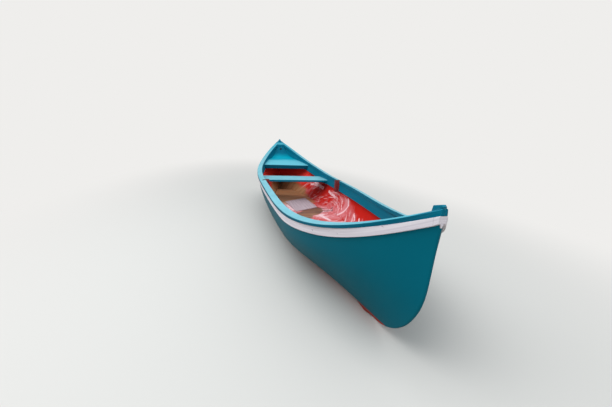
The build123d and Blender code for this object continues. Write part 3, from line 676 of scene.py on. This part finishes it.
# Teal gelcoat of the end decks: smooth, pale on top at the worn front, where it is also painted sky
# reflection, with painted shade deep in the hollow and on the front face
deckFinish = {
    # the darker teals of the hollow and of the front face are painted shade
    "teal": "#0098B0", "bleachedAndSkySheen": "#5CB0C2", "hollow": "#00627C", "side": "#004C62",
    "cloudSize": 200, "waves": 0.12, "front": (2.12, 1.95), "top": (0.3, 0.8),
    "hollowFrom": (2.2, 2.36), "sideFrom": (1.72, 1.68), "edge": 0.004,
    "roughness": 0.48, "gloss": 0.06, "ior": 1.45,
    "rippleSize": 40, "rippleStrength": 0.1, "rippleDepth": 0.002,
}


def makeDeckFinish():
    material, tree = newMaterial("teal moulded end deck")
    geometry = addNode(tree, "NewGeometry").outputs
    up = addNode(tree, "SeparateXYZ", {0: geometry["True Normal"]}).outputs["Z"]
    along = addNode(tree, "SeparateXYZ", {0: geometry["Position"]}).outputs["X"]
    reach = addNode(tree, "Math", {0: along}, operation="ABSOLUTE")
    clouds = addNode(tree, "TexNoise", {"Vector": place(tree, deckFinish["cloudSize"]), "Scale": 1.0,
                                        "Detail": 4.0})
    edge = addNode(tree, "Math", {0: clouds, 1: deckFinish["waves"], 2: reach},
                   operation="MULTIPLY_ADD")
    # painted shade: a darker teal deep in the hollow by the stem and on the front face
    colour = layer(tree, deckFinish["teal"], deckFinish["hollow"],
                   zone(tree, edge, *deckFinish["hollowFrom"]))
    colour = layer(tree, colour, deckFinish["side"], zone(tree, reach, *deckFinish["sideFrom"]))
    # the paler top at the front is bleaching and painted sky reflection together
    front = zone(tree, edge, *deckFinish["front"], zone(tree, up, *deckFinish["top"]))
    colour = layer(tree, colour, deckFinish["bleachedAndSkySheen"], front)
    ripple = addNode(tree, "TexNoise", {"Vector": place(tree, deckFinish["rippleSize"]), "Scale": 1.0,
                                        "Detail": 3.0})
    rounded = addNode(tree, "Bevel", {"Radius": deckFinish["edge"]}, samples=6)
    bump = addNode(tree, "Bump", {"Height": ripple, "Strength": deckFinish["rippleStrength"],
                                  "Distance": deckFinish["rippleDepth"], "Normal": rounded})
    shader = addNode(tree, "BsdfPrincipled", {"Base Color": colour, "IOR": deckFinish["ior"],
                                              "Roughness": deckFinish["roughness"], "Normal": bump,
                                              "Specular IOR Level": deckFinish["gloss"]})
    addNode(tree, "OutputMaterial", {"Surface": shader})
    return material


# Off-white paint brushed on the rub strakes: satin, with grey brush streaks and bare nicks. The
# streaks are drawn at 9 mm, also coarser than real brush marks.
strakeFinish = {
    "paint": "#EAE8F2", "shade": "#D6D3E0", "nick": "#8C8892",
    "brush": (450, 50, 9), "streaks": (0.3, 0.7), "nickSize": (45.45, 45.45, 15.15),
    "nicks": (0.68, 0.74), "edge": 0.004, "roughness": 0.5, "ior": 1.45,
    "brushStrength": 0.3, "brushDepth": 0.001,
}


def makeStrakeFinish():
    material, tree = newMaterial("off-white paint on timber")
    brush = straightened(tree, *strakeFinish["brush"])
    marks = addNode(tree, "TexNoise", {"Vector": brush, "Scale": 1.0, "Detail": 4.0})
    colour = layer(tree, strakeFinish["shade"], strakeFinish["paint"],
                   zone(tree, marks, *strakeFinish["streaks"]))
    nicks = addNode(tree, "TexNoise", {"Vector": place(tree, *strakeFinish["nickSize"]), "Scale": 1.0,
                                       "Detail": 8.0})
    colour = layer(tree, colour, strakeFinish["nick"], zone(tree, nicks, *strakeFinish["nicks"]))
    rounded = addNode(tree, "Bevel", {"Radius": strakeFinish["edge"]}, samples=6)
    bump = addNode(tree, "Bump", {"Height": marks, "Strength": strakeFinish["brushStrength"],
                                  "Distance": strakeFinish["brushDepth"], "Normal": rounded})
    shader = addNode(tree, "BsdfPrincipled", {"Base Color": colour, "IOR": strakeFinish["ior"],
                                              "Roughness": strakeFinish["roughness"], "Normal": bump})
    addNode(tree, "OutputMaterial", {"Surface": shader})
    return material


# Plywood sole in the same worn red: dull, with the plywood's grain in its bare places
soleFinish = {"roughness": 0.45, "ior": 1.45, "rippleSize": 25, "rippleStrength": 0.15,
              "rippleDepth": 0.002}


def makeSoleFinish():
    material, tree = newMaterial("worn red paint on plywood")
    colour = makeWornRed(tree)
    ripple = addNode(tree, "TexNoise", {"Vector": place(tree, soleFinish["rippleSize"]), "Scale": 1.0,
                                        "Detail": 4.0})
    bump = addNode(tree, "Bump", {"Height": ripple, "Strength": soleFinish["rippleStrength"],
                                  "Distance": soleFinish["rippleDepth"]})
    shader = addNode(tree, "BsdfPrincipled", {"Base Color": colour, "IOR": soleFinish["ior"],
                                              "Roughness": soleFinish["roughness"], "Normal": bump})
    addNode(tree, "OutputMaterial", {"Surface": shader})
    return material


# Weathered plywood and rough timber, bare or thinly painted: matt, with grain in two shades. The
# lines are drawn 5 to 6 mm apart, coarser than the real 1 to 3 mm so that they show. A mark of the
# noise holds about three of them; marks are in mm along, across and up.
boardFinish = {"face": "#B4A4AB", "line": "#A08F97", "grainSize": (400, 18, 16.67), "grain": (0.35, 0.7),
               "detail": 5.0, "distortion": 0.6, "edge": 0.002, "roughness": 0.75}
timber = {"grainSize": (166.7, 15, 15), "grain": (0.3, 0.7), "detail": 4.0, "distortion": 0.0,
          "edge": 0.003, "roughness": 0.55}
bearerFinish = {"face": "#80583C", "line": "#5A3E2C", **timber}
chockFinish = {"face": "#8C2A2A", "line": "#601A1A", **timber}
bottomFinish = {"face": "#9C2A22", "line": "#6A2A20", **timber}
grainBump = {"strength": 0.3, "depth": 0.001}


def makeTimberFinish(name, finish):
    material, tree = newMaterial(name)
    grain = addNode(tree, "TexNoise", {"Vector": place(tree, *finish["grainSize"]), "Scale": 1.0,
                                       "Detail": finish["detail"], "Distortion": finish["distortion"]})
    colour = layer(tree, finish["line"], finish["face"], zone(tree, grain, *finish["grain"]))
    rounded = addNode(tree, "Bevel", {"Radius": finish["edge"]}, samples=6)
    bump = addNode(tree, "Bump", {"Height": grain, "Strength": grainBump["strength"],
                                  "Distance": grainBump["depth"], "Normal": rounded})
    shader = addNode(tree, "BsdfPrincipled", {"Base Color": colour, "Roughness": finish["roughness"],
                                              "Normal": bump})
    addNode(tree, "OutputMaterial", {"Surface": shader})
    return material


# Hot-dip galvanised steel: grey, mottled by its crystals of 5 to 6 mm, dulled and spotted by salt.
# Both greys are kept darker than zinc as painted shade, so that the pipe's mouth shows dark
metalFinish = {"zinc": "#5C5A57", "dull": "#34312F", "rust": "#4A3024", "crystalSize": 5.556,
               "spotSize": 16.67, "spots": (0.55, 0.66), "metallic": 0.9, "edge": 0.001,
               "roughness": 0.5}


def makeMetalFinish():
    material, tree = newMaterial("dull galvanised steel")
    crystals = addNode(tree, "TexVoronoi", {"Vector": place(tree, metalFinish["crystalSize"]),
                                            "Scale": 1.0}).outputs["Distance"]
    # painted shade: both greys darker than bare zinc, for the dark mouth of the pipe
    colour = layer(tree, metalFinish["zinc"], metalFinish["dull"], crystals)
    spots = addNode(tree, "TexNoise", {"Vector": place(tree, metalFinish["spotSize"]), "Scale": 1.0,
                                       "Detail": 5.0})
    rusty = zone(tree, spots, *metalFinish["spots"])
    colour = layer(tree, colour, metalFinish["rust"], rusty)
    metallic = addNode(tree, "MapRange", {"Value": rusty, "To Min": metalFinish["metallic"],
                                          "To Max": 0.0})
    rounded = addNode(tree, "Bevel", {"Radius": metalFinish["edge"]}, samples=6)
    shader = addNode(tree, "BsdfPrincipled", {"Base Color": colour, "Metallic": metallic,
                                              "Roughness": metalFinish["roughness"],
                                              "Normal": rounded})
    addNode(tree, "OutputMaterial", {"Surface": shader})
    return material


finishes = {
    "hull_moulding": makeHullFinish(),
    "deck_moulding": makeDeckFinish(),
    "trim_paint": makeTrimFinish(),
    "strake_paint": makeStrakeFinish(),
    "sole_paint": makeSoleFinish(),
    "bare_board": makeTimberFinish("weathered bare plywood", boardFinish),
    "bearer_wood": makeTimberFinish("bare bearer timber", bearerFinish),
    "chock_wood": makeTimberFinish("maroon paint on chock timber", chockFinish),
    "bottom_strips": makeTimberFinish("worn red paint on bottom strips", bottomFinish),
    "fittings": makeMetalFinish(),
}
for part in frame["record"]["subparts"]:
    mesh = nodes[part["node"]].data
    mesh.materials.clear()
    mesh.materials.append(finishes[part["material_slot"]])
for piece, slot in ownPieces:
    piece.data.materials.clear()
    piece.data.materials.append(finishes[slot])
print("finishes given:", len(finishes))
